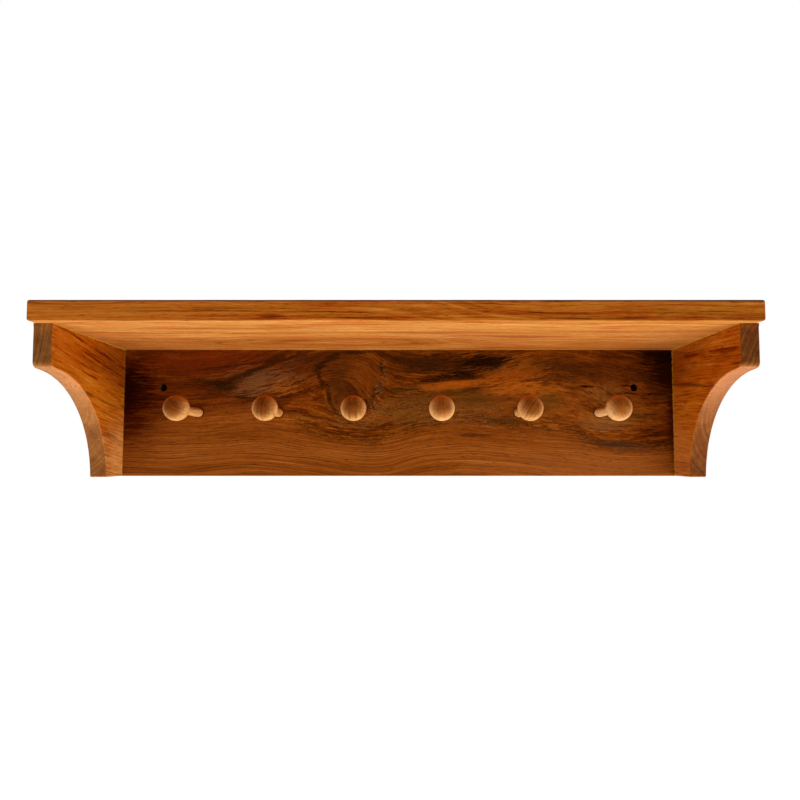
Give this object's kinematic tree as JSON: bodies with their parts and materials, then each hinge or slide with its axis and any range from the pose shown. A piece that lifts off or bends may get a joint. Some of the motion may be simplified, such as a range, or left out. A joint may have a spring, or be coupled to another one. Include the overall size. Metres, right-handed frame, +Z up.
{
  "type": "shaker peg rail with shelf",
  "caption": "Wooden wall shelf on side brackets with concave fronts, above a back rail that carries a row of turned ball-ended pegs for coats and takes countersunk wall screws.",
  "frame": {"origin": "on the wall plane at the back of the rail, midway between the two wall-screw holes", "axes": "+X along the rail, to the right seen from the front; +Y into the wall; +Z up"},
  "size_m": [0.7, 0.191, 0.172],
  "materials": {
    "shelf_wood": "satin",
    "rail_wood": "satin",
    "left_bracket_wood": "satin",
    "right_bracket_wood": "satin",
    "peg_wood": "satin",
    "dowel_wood": "raw"
  },
  "bodies": {
    "root": {"shelf_board": "shelf_wood", "back_rail": "rail_wood", "left_bracket": "left_bracket_wood", "right_bracket": "right_bracket_wood", "peg_1": "peg_wood", "peg_2": "peg_wood", "peg_3": "peg_wood", "peg_4": "peg_wood", "peg_5": "peg_wood", "peg_6": "peg_wood", "shelf_dowel_left_back": "dowel_wood", "shelf_dowel_left_front": "dowel_wood", "shelf_dowel_right_back": "dowel_wood", "shelf_dowel_right_front": "dowel_wood", "end_dowel_left_upper": "dowel_wood", "end_dowel_left_lower": "dowel_wood", "end_dowel_right_upper": "dowel_wood", "end_dowel_right_lower": "dowel_wood", "rail_dowel_left": "dowel_wood", "rail_dowel_middle": "dowel_wood", "rail_dowel_right": "dowel_wood"}
  },
  "joints": []
}
